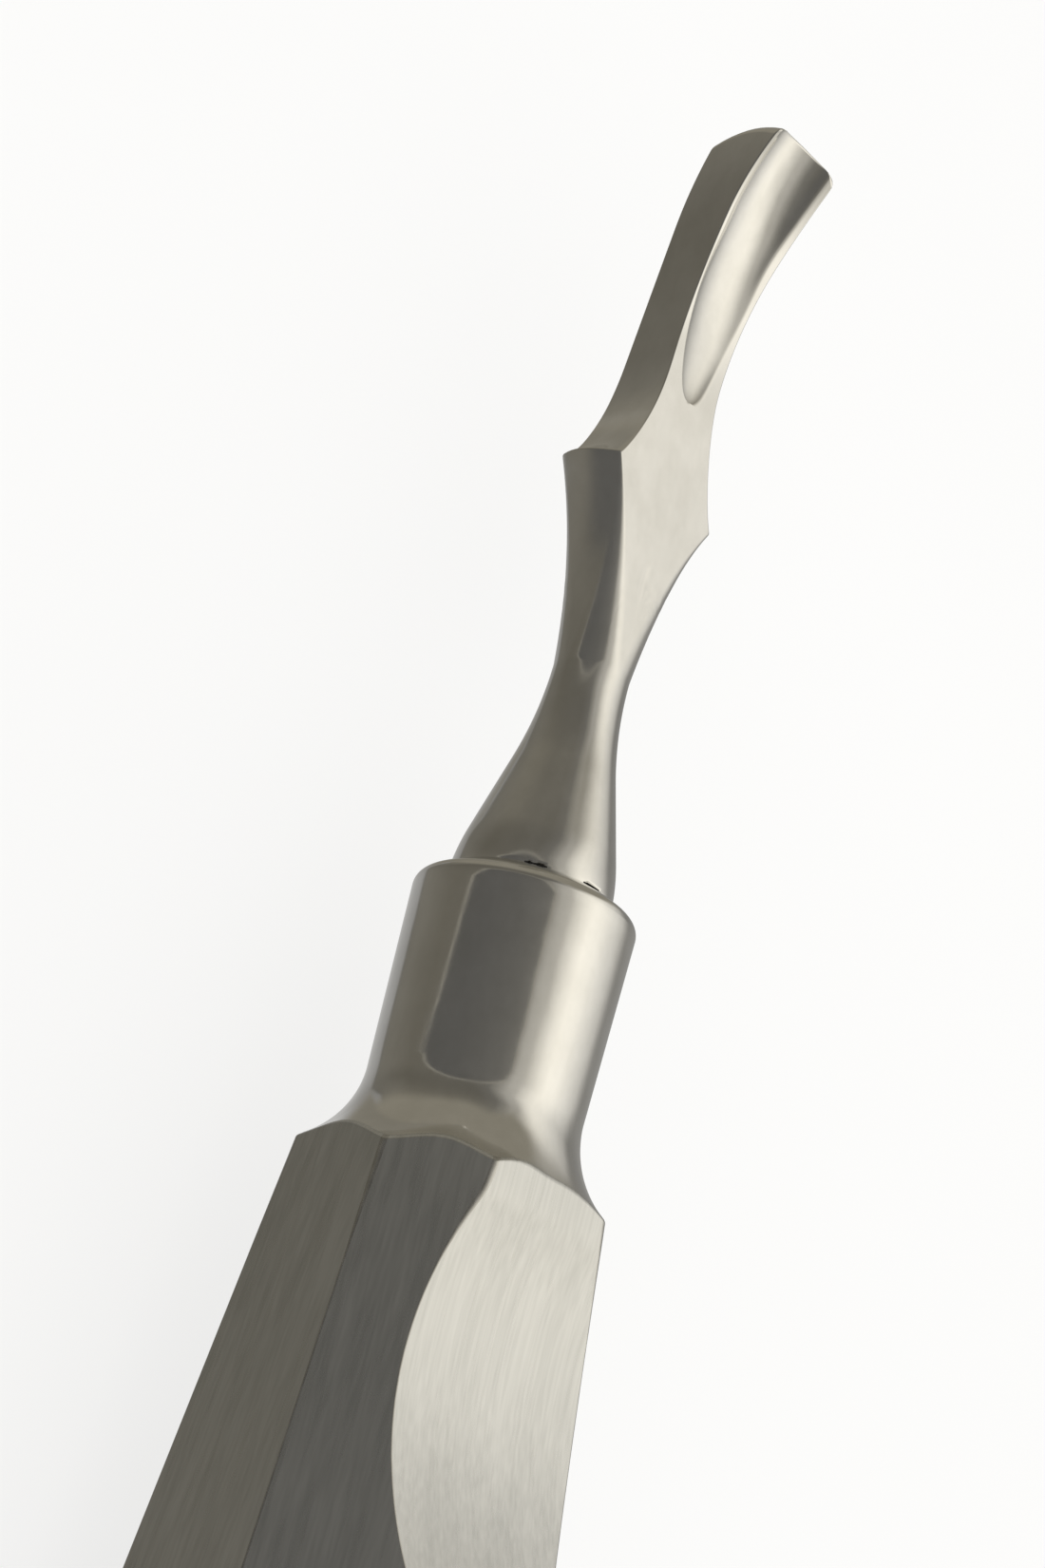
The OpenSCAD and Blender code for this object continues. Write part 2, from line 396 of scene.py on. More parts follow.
def gouge_depth(x):
    past = np.maximum(x - GOUGE_X, 0)
    return (GOUGE_DEPTH + GOUGE_GROWTH * past) * (1 - np.exp(-2 * past))


def hollowed(x, y):
    """How far the gouge lies under the front face at (x, y): crisp at its left edge, soft at
    its right one."""
    y = y - gouge_offset(x)
    half = np.maximum(gouge_half(x), 1e-3)
    under = gouge_depth(x) * (1 - np.minimum(np.abs(y) / half, 2) ** GOUGE_SQUARENESS)
    soft = np.where(y < 0, GOUGE_SOFT * smooth_step(GOUGE_X, GOUGE_FULL_X, x), 0)
    return (under + np.hypot(under, soft)) / 2


def even(parts):
    """Shares of the way along a group of columns, without the group's end."""
    return np.arange(parts) / parts


def front_share(x, flat):
    """Places of the columns across the front face, from 1 at the left to -1 at the right."""
    half = np.maximum(gouge_half(x), GOUGE_LEAST)
    left_end = min((half + gouge_offset(x)) / flat, GOUGE_SHARE)
    right_end = max((gouge_offset(x) - half) / flat, -GOUGE_SHARE)
    left = 1 + (left_end - 1) * even(LAND)
    widest = 0.3 * math.pi
    turn = np.sin(np.linspace(widest, -widest, HOLLOW + 1)[:-1]) / math.sin(widest)
    hollow = (left_end + right_end) / 2 + turn * (left_end - right_end) / 2
    return np.concatenate([left, hollow, right_end - (1 + right_end) * even(LAND), [-1.0]])


def left_side(x):
    """The blade's left side at x, from the front face to the back face: (y, z) of the front
    edge's arc, of the bulging side and of the back edge's arc, and the ends of both faces."""
    half, front, back = float(blade_half_width(x)), float(blade_front(x)), float(blade_back(x))
    r_front, r_back = float(front_edge(x)), float(back_edge(x))
    share = float(hip_share(x))
    fade = math.exp(min(HIP_FADE * (HIP_X - x), 0))
    straight = (front - back - r_front - r_back) / (FRONT_Z + BACK_Z - HIP_EDGE - HIP_BACK_EDGE)
    bulge = HIP_BULGE * fade * min(straight, 1) ** 2
    lean = HIP_LEAN * fade * share**3
    front_corner = np.array([half, front])
    back_corner = np.array([half + lean, back])
    middle = np.array([half + lean / 2 + 2 * bulge, (front + back) / 2])
    down = (middle - front_corner) / np.linalg.norm(middle - front_corner)
    up = (middle - back_corner) / np.linalg.norm(middle - back_corner)
    front_turn, back_turn = math.acos(down[0]), math.acos(up[0])
    front_back = r_front * math.tan(front_turn / 2)
    back_back = r_back * math.tan(back_turn / 2)
    front_angle = front_turn * (1 - even(ARC))
    back_angle = math.pi - back_turn * even(ARC)
    front_arc = np.stack([np.sin(front_angle), np.cos(front_angle)], -1) * r_front
    back_arc = np.stack([np.sin(back_angle), np.cos(back_angle)], -1) * r_back
    start, end = front_corner + front_back * down, back_corner + back_back * up
    t = even(SIDE)[:, None]
    side = t**2 * start + 2 * t * (1 - t) * middle + (1 - t) ** 2 * end
    front_arc = front_arc + front_corner - [front_back, r_front]
    back_arc = back_arc + back_corner - [back_back, -r_back]
    return front_arc, side, back_arc, start, end, half - front_back, half + lean - back_back


def section(x):
    """Outline of the blade at x: (y, z) of each column, from the left front edge across the
    front and round the back."""
    front_arc, side, back_arc, start, end, front_flat, back_flat = left_side(x)
    front, back = float(blade_front(x)), float(blade_back(x))
    share = front_share(x, front_flat)
    y_front = share * front_flat
    z_front = front - hollowed(x, y_front)
    y_back = -share * back_flat
    mirror = [-1, 1]
    right_front_arc = np.concatenate([[[front_flat, front]], front_arc[:0:-1]]) * mirror
    right_side = np.concatenate([start[None], side[:0:-1]]) * mirror
    right_back_arc = np.concatenate([end[None], back_arc[:0:-1]]) * mirror
    left_back_arc = np.concatenate([[[back_flat, back]], back_arc[1:]])
    return np.concatenate(
        [
            front_arc,
            np.stack([y_front, z_front], -1)[:-1],
            right_front_arc,
            right_side,
            right_back_arc,
            np.stack([y_back, np.full(len(y_back), back)], -1)[:-1],
            left_back_arc,
            side,
        ]
    )


# Even directions of the columns on the round shank, as far as the ring's first column allows.
HIP_SECTION = section(HIP_X - 1e-6)
HIP_ANGLE = np.unwrap(np.arctan2(-HIP_SECTION[:, 0], HIP_SECTION[:, 1]))
ROUND_ANGLE = HIP_ANGLE[0] + 2 * math.pi * even(BLADE_COLUMNS)


def round_ring(x, radius):
    across, up = -radius * np.sin(ROUND_ANGLE), radius * np.cos(ROUND_ANGLE) + waist_lift(x)
    return np.stack([np.full(BLADE_COLUMNS, x), across, up], -1)


def slanted(ring, share):
    """A ring leaned like the ridge of the hip, whose back and left ends are nearer the nose."""
    ring[:, 0] += share * (HIP_SLANT * (FRONT_Z - ring[:, 2]) + HIP_SKEW * ring[:, 1])
    return ring


def blend_ring(x):
    """A ring of the stretch in which the round waist turns into the hip."""
    outline = section(x)
    centre = (blade_front(x) + blade_back(x)) / 2
    angle = np.unwrap(np.arctan2(-outline[:, 0], outline[:, 1] - centre))
    reach = np.hypot(outline[:, 0], outline[:, 1] - centre)
    share = 1 - smooth_step(WAIST_X, ROUND_END_X, x)
    wanted = (1 - share) * angle + share * ROUND_ANGLE
    turn = 2 * math.pi
    long_angle = np.concatenate([angle - turn, angle, angle + turn])
    radius = np.interp(wanted, long_angle, np.tile(reach, 3))
    up = centre + radius * np.cos(wanted)
    ring = np.stack([np.full(BLADE_COLUMNS, x), -radius * np.sin(wanted), up], -1)
    return slanted(ring, hip_share(x) ** 2)


def hip_ring(x):
    """A ring between the hip and the gouge; the slant of the hip fades out along it."""
    return slanted(blade_ring(x), 1 - smooth_step(HIP_X, GOUGE_X, x))


def blade_ring(x):
    """A ring of the blade; x may differ from column to column."""
    places = np.broadcast_to(x, BLADE_COLUMNS)
    if np.ptp(places) == 0:
        return np.column_stack([places, section(float(places[0]))])
    low, high = places.min(), places.max()
    stops = np.linspace(low, high, 9)
    outlines = np.array([section(float(s)) for s in stops])
    points = np.empty((BLADE_COLUMNS, 3))
    points[:, 0] = places
    for c in range(BLADE_COLUMNS):
        points[c, 1] = np.interp(places[c], stops, outlines[:, c, 0])
        points[c, 2] = np.interp(places[c], stops, outlines[:, c, 1])
    return points


def nose_x(y, z):
    """The nose: rounded across, leaning back and slightly domed from front to back."""
    from_middle = (z - NOSE_MIDDLE_Z) / NOSE_HALF_Z
    lean = math.tan(NOSE_LEAN) * (z - NOSE_BACK_Z)
    return NOSE_REACH - sag(NOSE_R, y) / math.cos(NOSE_LEAN) - lean - NOSE_BULGE * from_middle**2


def nose_ends():
    """Place of the nose on each column of the blade, closed in on in a few rounds."""
    places = np.full(BLADE_COLUMNS, REACH - 0.5)
    for _ in range(6):
        ring = blade_ring(places)
        places = nose_x(ring[:, 1], ring[:, 2])
    return places


def nose_cap(vertices, last):
    """Closes the nose with a grid between its front, back and side edges."""
    across, down = ACROSS + ARC, SIDE + ARC
    half_arc = ARC // 2
    edge = [(half_arc + c) % BLADE_COLUMNS for c in range(BLADE_COLUMNS)]
    top = edge[: across + 1]
    right = edge[across : across + down + 1]
    bottom = edge[across + down : 2 * across + down + 1][::-1]
    left = ([*edge[2 * across + down :], edge[0]])[::-1]
    ring = vertices[last:]
    u = np.linspace(0, 1, across + 1)[None, :, None]
    v = np.interp(ring[left][:, 2], [ring[left[-1], 2], ring[left[0], 2]], [1, 0])[:, None, None]
    rows = (1 - v) * ring[top][None] + v * ring[bottom][None]
    sides = (1 - u) * ring[left][:, None] + u * ring[right][:, None]
    corners = (1 - v) * ((1 - u) * ring[top[0]] + u * ring[top[-1]]) + v * (
        (1 - u) * ring[bottom[0]] + u * ring[bottom[-1]]
    )
    grid = rows + sides - corners
    grid[..., 0] = nose_x(grid[..., 1], grid[..., 2])
    index = np.zeros((down + 1, across + 1), int)
    index[0], index[-1] = [last + c for c in top], [last + c for c in bottom]
    index[:, 0], index[:, -1] = [last + c for c in left], [last + c for c in right]
    fresh = len(vertices) + np.arange((down - 1) * (across - 1))
    index[1:-1, 1:-1] = fresh.reshape(down - 1, across - 1)
    vertices = np.concatenate([vertices, grid[1:-1, 1:-1].reshape(-1, 3)])
    faces, normals = [], []
    for r in range(down):
        for c in range(across):
            face = [index[r, c], index[r, c + 1], index[r + 1, c + 1], index[r + 1, c]]
            faces.append([int(f) for f in face])
            for f in face:
                y = vertices[f][1]
                dome = 2 * NOSE_BULGE * (vertices[f][2] - NOSE_MIDDLE_Z) / NOSE_HALF_Z**2
                n = Vector((1.0, y / math.sqrt(NOSE_R**2 - y**2), math.tan(NOSE_LEAN) + dome))
                normals.append(list(n.normalized()))
    return vertices, faces, normals


def cone_radius(x):
    """Radius of the foot's cone and of the hollow above it."""
    hollow = WAIST_R + sag(WAIST_HOLLOW_R, WAIST_X - np.maximum(x, CONE_END))
    slope = (WAIST_X - CONE_END) / math.sqrt(WAIST_HOLLOW_R**2 - (WAIST_X - CONE_END) ** 2)
    foot_arc = FOOT_ROUND * math.sqrt(1 + slope**2) / slope
    straight = slope * np.maximum(CONE_END - np.maximum(x, FOOT_ROUND), 0)
    rounded = sag(foot_arc, FOOT_ROUND) - sag(foot_arc, np.minimum(x, FOOT_ROUND))
    return hollow + straight + rounded


def seam_pits(angle):
    """Depth of the pits in the foot's edge, in the direction of each column."""
    depth = np.zeros(len(angle))
    for place, half in SEAM_PITS:
        away = np.abs((-np.degrees(angle) - place + 180) % 360 - 180)
        depth = np.where(away < half, SEAM_PIT, depth)
    return depth


def add_tang(skin):
    """The spigot at the tang's end and the tang in its socket, up to the foot."""
    skin.add_sharp(round_ring(SPIGOT_X, SPIGOT_R - TANG_BEVEL))
    skin.add_sharp(round_ring(SPIGOT_X + TANG_BEVEL, SPIGOT_R))
    skin.add_sharp(round_ring(TANG_X, SPIGOT_R))
    skin.add_sharp(round_ring(TANG_X, TANG_R - TANG_BEVEL))
    skin.add_sharp(round_ring(TANG_X + TANG_BEVEL, TANG_R))
    for x in np.linspace(TANG_X + TANG_BEVEL, SEAM_BOTTOM, 8)[1:]:
        skin.add(round_ring(x, TANG_R))
    skin.crease()


def add_foot(skin, pits, dark):
    """The foot's underside, its edge with the seam's pits in painted shadow, its cone and the
    hollow waist.
    """
    foot = float(cone_radius(SEAM_BOTTOM))
    skin.add(round_ring(SEAM_BOTTOM, (TANG_R + foot) / 2))
    before = round_ring(SEAM_BOTTOM, foot - FOOT_BEVEL)
    after = round_ring(SEAM_BOTTOM + FOOT_BEVEL, float(cone_radius(SEAM_BOTTOM + FOOT_BEVEL)))
    skin.round_edge(before, round_ring(SEAM_BOTTOM, foot), after)
    pit_low, pit_high = RIM_DOME - PIT_BELOW, RIM_DOME + PIT_ABOVE
    skin.add(round_ring(pit_low, float(cone_radius(pit_low))))
    # The quads down into the pits, along them and back out take the dark zone: painted shadow.
    skin.add(round_ring(pit_low + PIT_WALL, float(cone_radius(pit_low)) - pits), dark)
    skin.add(round_ring(pit_high - PIT_WALL, float(cone_radius(pit_high)) - pits), dark)
    skin.add(round_ring(pit_high, float(cone_radius(pit_high))), dark)
    for x in np.linspace(pit_high, WAIST_X, 64)[1:]:
        skin.add(round_ring(x, float(cone_radius(x))))


def add_hip(skin):
    """From the waist over the hip's ridge to the start of the gouge."""
    for x in np.linspace(WAIST_X, HIP_X - HIP_RIDGE, 84)[1:-1]:
        skin.add(blend_ring(x))
    before, after = blend_ring(HIP_X - HIP_RIDGE), hip_ring(HIP_X + HIP_RIDGE)
    skin.round_edge(before, hip_ring(HIP_X), after)
    for x in np.linspace(HIP_X + HIP_RIDGE, GOUGE_X, 40)[1:]:
        skin.add(hip_ring(x))


def add_tip(skin):
    """The gouge's stretch, whose last rings take the shape of the nose, and the nose's edge."""
    ends = nose_ends()
    for x in GOUGE_X + (TIP_RINGS_X - GOUGE_X) * np.linspace(0, 1, 46)[1:] ** 1.5:
        skin.add(blade_ring(x))
    edge = blade_ring(ends)
    half = np.abs(edge[:, 1]).max()
    near_side = (np.abs(edge[:, 1]) / half) ** CORNER_POWER
    setback = NOSE_EDGE + (NOSE_CORNER - NOSE_EDGE) * near_side
    for t in np.linspace(0, 1, 26)[1:-1]:
        skin.add(blade_ring(TIP_RINGS_X + (ends - setback - TIP_RINGS_X) * t))
    middle = (edge[:, 2].max() + edge[:, 2].min()) / 2
    height = (edge[:, 2].max() - edge[:, 2].min()) / 2
    face = edge.copy()
    face[:, 1] *= 1 - NOSE_CORNER / half
    face[:, 2] = middle + (edge[:, 2] - middle) * (1 - NOSE_EDGE / height)
    face[:, 0] = nose_x(face[:, 1], face[:, 2])
    skin.round_edge(blade_ring(ends - setback), edge, face, parts=5)


def make_blade():
    # dark is the zone of painted shadow in the seam's pits.
    steel, dark = 0, 1
    # The third side of the outline, the gouge's soft right edge, has no break.
    soft_edge = 3
    skin = Skin(BLADE_COLUMNS, np.delete(BLADE_STARTS, soft_edge).tolist())
    pits = seam_pits(ROUND_ANGLE)
    add_tang(skin)
    add_foot(skin, pits, dark)
    add_hip(skin)
    add_tip(skin)

    # Only the quads in the pits keep the painted shadow; the rest of each ring is steel.
    def only_in_pits(zones):
        in_pit = np.maximum(pits, np.roll(pits, -1)) > SEAM_PIT / 2
        return np.where(in_pit[None], zones, steel)

    materials = [polished_steel(), seam_shadow()]
    return skin.build("blade_and_shank_finished", materials, only_in_pits, nose_cap)


# -------- handle and butt cap

FLAT = 12
CORNER = 4
FACETS = 8
HANDLE_COLUMNS = FACETS * (FLAT + CORNER)
HANDLE_STARTS = [k * (FLAT + CORNER) + extra for k in range(FACETS) for extra in (0, CORNER)]
FULL_X = SHOULDER_X - (HALF_FLATS - SHOULDER_FLAT) / TAPER - BLEND_LEN / 2
BLEND_X = FULL_X + BLEND_LEN


def facet(x):
    """Distance of the plain facets from the axis: taper, blend, parallel belly and butt."""
    taper = SHOULDER_FLAT + TAPER * (SHOULDER_X - x)
    blend = HALF_FLATS - TAPER / (2 * BLEND_LEN) * np.square(x - FULL_X)
    belly = HALF_FLATS - np.where(x < BELLY_END, sag(BELLY_R, BELLY_END - x), 0)
    return np.where(x > BLEND_X, taper, np.where(x > FULL_X, blend, belly))


def dished(x):
    """Distance of the front and back facets from the axis, with their thumb rests."""
    near = np.clip(x, REST_X - REST_R, REST_X + REST_R)
    rest = REST_Z + sag(REST_R, near - REST_X)
    # At the shoulder a flat takes over from the rest, softly.
    soft = (rest + SHOULDER_FRONT - np.hypot(rest - SHOULDER_FRONT, REST_BLEND)) / 2
    return np.minimum(facet(x), np.where(x > REST_X, soft, rest - REST_BLEND**2 / 2))


def facet_points(x):
    """(y, z) of each column of the octagon; x may differ from column to column."""
    places = np.broadcast_to(x, HANDLE_COLUMNS).astype(float)
    near = smooth_step(SHOULDER_EDGE_X, SHOULDER_X, places)
    edge_r = FACET_EDGE_R + (SHOULDER_EDGE_R - FACET_EDGE_R) * near
    column = np.arange(HANDLE_COLUMNS)
    number = column // (FLAT + CORNER)
    step = column % (FLAT + CORNER)

    def distance(n):
        return np.where(n % 4 == 0, dished(places), facet(places))

    def centre(n):
        """Centre of the small arc between facets n - 1 and n."""
        a, b = distance(n - 1) - edge_r, distance(n) - edge_r
        along = (b * math.cos(math.pi / 4) - a) / math.sin(math.pi / 4)
        angle = n * math.pi / 4
        return -b * np.sin(angle) - along * np.cos(angle), b * np.cos(angle) - along * np.sin(angle)

    angle = number * math.pi / 4
    y0, z0 = centre(number)
    y1, z1 = centre(number + 1)
    turn = angle - math.pi / 4 * (1 - step / CORNER)
    on_arc = np.stack([y0 - edge_r * np.sin(turn), z0 + edge_r * np.cos(turn)], -1)
    share = (step - CORNER) / FLAT
    flat_y = y0 + (y1 - y0) * share - edge_r * np.sin(angle)
    flat_z = z0 + (z1 - z0) * share + edge_r * np.cos(angle)
    return np.where((step < CORNER)[:, None], on_arc, np.stack([flat_y, flat_z], -1))


def facet_ring(x):
    return np.column_stack([np.broadcast_to(x, HANDLE_COLUMNS), facet_points(x)])


def turned_ring(x, radius, direction):
    """A ring of a turned surface, along the directions of the columns."""
    x = np.broadcast_to(x, HANDLE_COLUMNS)
    radius = np.broadcast_to(radius, HANDLE_COLUMNS)
    return np.column_stack([x, radius * direction[:, 0], radius * direction[:, 1]])


def meet(excess, low, high):
    """Place on each column where an excess, positive at low and negative at high, is zero,
    found by halving the stretch between them."""
    low = np.full(HANDLE_COLUMNS, float(low))
    high = np.full(HANDLE_COLUMNS, float(high))
    for _ in range(40):
        middle = (low + high) / 2
        over = excess(middle) > 0
        low = np.where(over, middle, low)
        high = np.where(over, high, middle)
    return (low + high) / 2


def facet_reach(x):
    """Distance of each column of the octagon from the axis."""
    return np.linalg.norm(facet_points(x), axis=1)


def direction_at(x):
    points = facet_points(x)
    return points / np.linalg.norm(points, axis=1, keepdims=True)


def flare_radius(x):
    return NECK_LOW_R + sag(FLARE_R, FLARE_X - x)


def crest():
    """Place of the shoulder's crest on each column. The polishing has carried the flare a
    little further up on the left, most at the middle of each facet, and less on the front."""
    plain = meet(lambda x: flare_radius(x) - facet_reach(x), FLARE_END, FLARE_X)
    left = smooth_step(0, CREST_TURN, direction_at(plain)[:, 0])
    column = np.arange(HANDLE_COLUMNS)
    number = column // (FLAT + CORNER)
    across = (column % (FLAT + CORNER) - CORNER) / FLAT * 2 - 1
    arch = np.cos(np.clip(across, -1, 1) * math.pi / 2) ** 2
    arch *= np.where(number % 4 == 0, -CREST_SAG, CREST_ARCH * left)
    return plain + left * CREST_LIFT + arch


def neck_radius(x):
    share = (x + RIM_ROUND) / (FLARE_X + RIM_ROUND)
    return NECK_R + (NECK_LOW_R - NECK_R) * share


def on_edges(zones, satin, edge):
    """Gives the edges between satin facets a zone of their own."""
    in_corner = np.arange(HANDLE_COLUMNS) % (FLAT + CORNER) < CORNER
    return np.where((zones == satin) & in_corner[None], edge, zones)


def bevelled_end():
    """The octagon where the cap joins, drawn in by the joint's bevel."""
    shrink = 1 - JOINT_BEVEL / HALF_FLATS
    return facet_ring(CAP_X) * [1, shrink, shrink]


def add_bore(skin, zone):
    """The drilled bore, from the drill's cone to its mouth at the cap."""
    direction = direction_at(CAP_X)
    tip_x = BORE_BOTTOM + BORE_R * DRILL_CONE
    skin.add_sharp(turned_ring(tip_x - CENTRE_R * DRILL_CONE, CENTRE_R, direction), zone)
    skin.add(turned_ring((tip_x + BORE_BOTTOM) / 2, BORE_R / 2, direction), zone)
    skin.add_sharp(turned_ring(BORE_BOTTOM, BORE_R, direction), zone)
    for x in np.linspace(BORE_BOTTOM, CAP_X + JOINT_BEVEL, 24)[1:]:
        skin.add(turned_ring(x, BORE_R, direction), zone)
    skin.crease()
    skin.add_sharp(turned_ring(CAP_X, BORE_R + JOINT_BEVEL, direction), zone)


def add_facets(skin, crease_x, zone):
    """The octagon from the cap's joint to just under the shoulder's crest."""
    inner = bevelled_end()
    skin.add((turned_ring(CAP_X, BORE_R, direction_at(CAP_X)) + inner) / 2, zone)
    skin.round_edge(inner, facet_ring(CAP_X), facet_ring(CAP_X + JOINT_BEVEL), zone)
    for x in np.linspace(CAP_X + JOINT_BEVEL, FINE_X, 60)[1:]:
        skin.add(facet_ring(x), zone)
    for x in np.linspace(FINE_X, SLANT_X, 22)[1:]:
        skin.add(facet_ring(x), zone)
    for t in np.linspace(0, 1, 60)[1:-1]:
        skin.add(facet_ring(SLANT_X + (crease_x - CREST_LIP - SLANT_X) * t), zone)


def add_neck(skin, crease_x, direction, satin, polished):
    """The shoulder's crest, the flare, the neck and its rounded rim with the dome."""
    run = FLARE_X - crease_x
    rise = facet_reach(crease_x) - NECK_LOW_R
    flare_arc = (run**2 + rise**2) / (2 * rise)
    after_x = crease_x + CREST_LIP
    after = turned_ring(after_x, NECK_LOW_R + sag(flare_arc, FLARE_X - after_x), direction)
    skin.round_edge(facet_ring(crease_x - CREST_LIP), facet_ring(crease_x), after, satin)
    for t in np.linspace(0, 1, 26)[1:]:
        x = after_x + (FLARE_X - after_x) * t
        skin.add(turned_ring(x, NECK_LOW_R + sag(flare_arc, FLARE_X - x), direction), polished)
    for x in np.linspace(FLARE_X, -RIM_ROUND, 24)[1:]:
        skin.add(turned_ring(x, neck_radius(x), direction), polished)
    for angle in np.radians(np.linspace(0, RIM_TURN, 15))[1:]:
        x = -RIM_ROUND + RIM_ROUND * math.sin(angle)
        radius = NECK_R - RIM_ROUND * (1 - math.cos(angle))
        skin.add(turned_ring(x, radius, direction), polished)
    mouth = float(cone_radius(RIM_DOME)) + SEAM_GAP
    crown = turned_ring((x + RIM_DOME) / 2, (radius + mouth) / 2 + RIM_CROWN, direction)
    skin.add(crown, polished)
    skin.add_sharp(turned_ring(RIM_DOME, mouth + SEAM_LIP, direction), polished)


def add_socket(skin, direction, zone):
    """The seam round the foot and the blind socket of the tang."""
    foot = float(cone_radius(RIM_DOME))
    skin.add_sharp(turned_ring(RIM_DOME - SEAM_LIP, foot + SEAM_GAP, direction), zone)
    skin.add_sharp(turned_ring(SEAM_BOTTOM, foot - FOOT_BEVEL, direction), zone)
    skin.add_sharp(turned_ring(SEAM_BOTTOM, SOCKET_R, direction), zone)
    for x in np.linspace(SEAM_BOTTOM, SPIGOT_X, 8)[1:]:
        skin.add(turned_ring(x, SOCKET_R, direction), zone)
    skin.crease()
    skin.add(turned_ring(SPIGOT_X, SOCKET_R / 2, direction), zone)
    skin.add(turned_ring(SPIGOT_X, CENTRE_R, direction), zone)


def make_handle():
    bore, polished, satin, edge = 0, 1, 2, 3
    crease_x = crest()
    direction = direction_at(crease_x)
    skin = Skin(HANDLE_COLUMNS, HANDLE_STARTS)
    add_bore(skin, bore)
    add_facets(skin, crease_x, satin)
    add_neck(skin, crease_x, direction, satin, polished)
    add_socket(skin, direction, bore)
    materials = [shaded_drilled_steel(), polished_steel(), satin_steel(), facet_edge_steel()]
    return skin.build("handle_body_finished", materials, lambda zones: on_edges(zones, satin, edge))


def dome_radius(x):
    return np.sqrt(np.maximum(DOME_R**2 - np.square(x - BUTT_X - DOME_R), 0))


def make_butt_cap():
    satin, bore = 0, 1
    crease_x = meet(lambda x: facet_reach(x) - dome_radius(x), BUTT_X, CAP_X)
    direction = direction_at(crease_x)
    skin = Skin(HANDLE_COLUMNS, HANDLE_STARTS)
    skin.add(turned_ring(BUTT_X + sag(DOME_R, CENTRE_R), CENTRE_R, direction), satin)
    dome_end = np.arccos((BUTT_X + DOME_R - crease_x + CAP_LIP) / DOME_R)

    def dome_ring(t):
        x = BUTT_X + DOME_R - DOME_R * np.cos(dome_end * t)
        return turned_ring(x, DOME_R * np.sin(dome_end * t), direction)

    for t in np.linspace(0, 1, 24)[1:-1]:
        skin.add(dome_ring(t), satin)
    after = facet_ring(crease_x + CAP_LIP)
    skin.round_edge(dome_ring(1.0), facet_ring(crease_x), after, satin)
    side_end = CAP_X - JOINT_BEVEL
    for t in np.linspace(0, 1, 14)[1:-1]:
        skin.add(facet_ring(crease_x + CAP_LIP + (side_end - crease_x - CAP_LIP) * t), satin)
    skin.round_edge(facet_ring(side_end), facet_ring(CAP_X), bevelled_end(), satin)
    skin.add_sharp(turned_ring(CAP_X, PLUG_R, direction), bore)
    for x in np.linspace(CAP_X, PLUG_X, 8)[1:]:
        skin.add(turned_ring(x, PLUG_R, direction), bore)
    return skin.build("butt_cap_finished", [satin_steel(), shaded_drilled_steel()])


# -------- shader nodes


def new_material(name, metallic=1.0):
    material = bpy.data.materials.new(name)
    material.use_nodes = True
    tree = material.node_tree
    shader = tree.nodes["Principled BSDF"]
    shader.inputs["Metallic"].default_value = metallic
    return material, tree, shader


def node(tree, kind, values=(), links=()):
    """A node with its inputs set by name or number, and linked from other nodes' outputs."""
    made = tree.nodes.new(kind)
    for key, value in values:
        made.inputs[key].default_value = value
    for key, source in links:
        tree.links.new(source, made.inputs[key])
    return made


def maths(tree, kind, *inputs):
    """One sum of numbers or of other nodes' outputs."""
    made = tree.nodes.new("ShaderNodeMath")
    made.operation = kind
    for socket, value in zip(made.inputs, inputs):
        if isinstance(value, (int, float)):
            socket.default_value = value
        else:
            tree.links.new(value, socket)
    return made.outputs[0]


def noise(tree, scale, detail=3.0, roughness=0.6):
    """Noise in the frame's own millimetres, stretched by a scale for each axis."""
    place = node(tree, "ShaderNodeTexCoord").outputs["Object"]
    mapping = node(tree, "ShaderNodeMapping", [("Scale", scale)], [("Vector", place)])
    values = [("Scale", 1.0 / MM), ("Detail", detail), ("Roughness", roughness)]
    made = node(tree, "ShaderNodeTexNoise", values, [("Vector", mapping.outputs["Vector"])])
    return made.outputs["Fac"]


def ramp(tree, source, stops):
    """Colours by a source from 0 to 1."""
    made = node(tree, "ShaderNodeValToRGB", links=[("Fac", source)])
    elements = made.color_ramp.elements
    while len(elements) > 1:
        elements.remove(elements[-1])
    elements[0].position, elements[0].color = stops[0][0], (*stops[0][1], 1.0)
    for place, colour in stops[1:]:
        elements.new(place).color = (*colour, 1.0)
    return made.outputs["Color"]


def grey(value, warmth=0.0):
    """A grey that leans to olive as the warmth grows."""
    return (value, value * (1 - 0.035 * warmth), value * (1 - 0.12 * warmth))


def tint(tree, shader, source, dark, light, spread=(0.3, 0.7)):
    """Base colour from dark to light as the source goes through the spread."""
    colour = ramp(tree, source, list(zip(spread, (dark, light))))
    tree.links.new(colour, shader.inputs["Base Color"])


def roughen(tree, shader, source, low, high, spread=(0.3, 0.7)):
    """Roughness from low to high as the source goes through the spread."""
    rough = ramp(tree, source, list(zip(spread, (grey(low), grey(high)))))
    tree.links.new(rough, shader.inputs["Roughness"])


def bump(tree, shader, *layers):
    """Relief from layers of (height, millimetres), each on top of the one before."""
    normal = None
    for height, distance in layers:
        links = [("Height", height)] + ([("Normal", normal)] if normal else [])
        values = [("Distance", distance * MM), ("Strength", 1.0)]
        normal = node(tree, "ShaderNodeBump", values, links).outputs["Normal"]
    tree.links.new(normal, shader.inputs["Normal"])


# -------- materials

# Extra roughness of the shank by distance from the neck rim, in millimetres.
SHANK_HAZE = ((8.0, 0.0), (11.5, 0.12), (16.3, 0.12), (16.9, 0.0))


